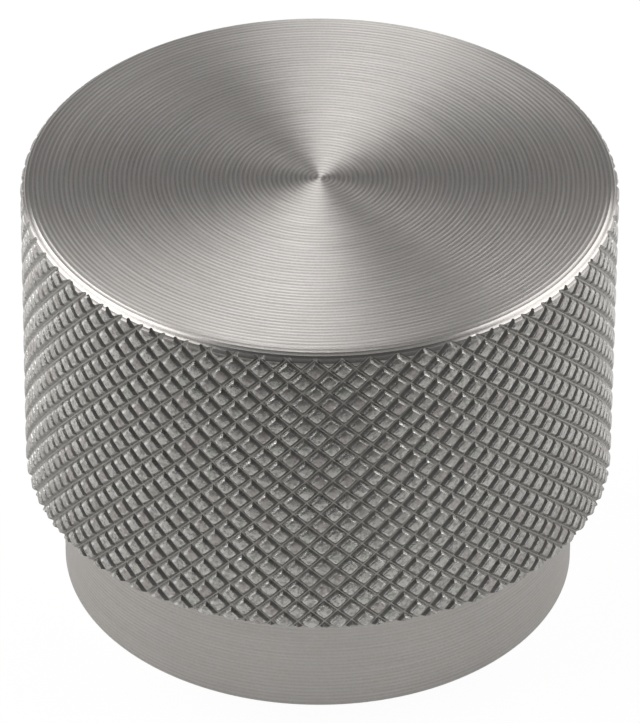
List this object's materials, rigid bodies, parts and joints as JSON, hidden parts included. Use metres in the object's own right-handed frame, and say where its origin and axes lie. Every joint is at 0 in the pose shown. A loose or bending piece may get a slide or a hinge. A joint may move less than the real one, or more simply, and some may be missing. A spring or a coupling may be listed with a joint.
{
  "type": "furniture knob",
  "caption": "Round stainless-steel furniture knob turned from one piece: crossed diamond knurl on the head, rounded top edge, plain narrower foot, tapped blind hole in the base.",
  "frame": {"origin": "centre of the bottom face of the foot, the face that is screwed against the furniture front", "axes": "+Z along the axis of the knob, from the foot to the top face"},
  "size_m": [0.031, 0.031, 0.024],
  "materials": {
    "steel": "turned and knurled stainless steel, fine turning rings on the top face and foot"
  },
  "bodies": {
    "root": {"knob": "steel"}
  },
  "joints": []
}
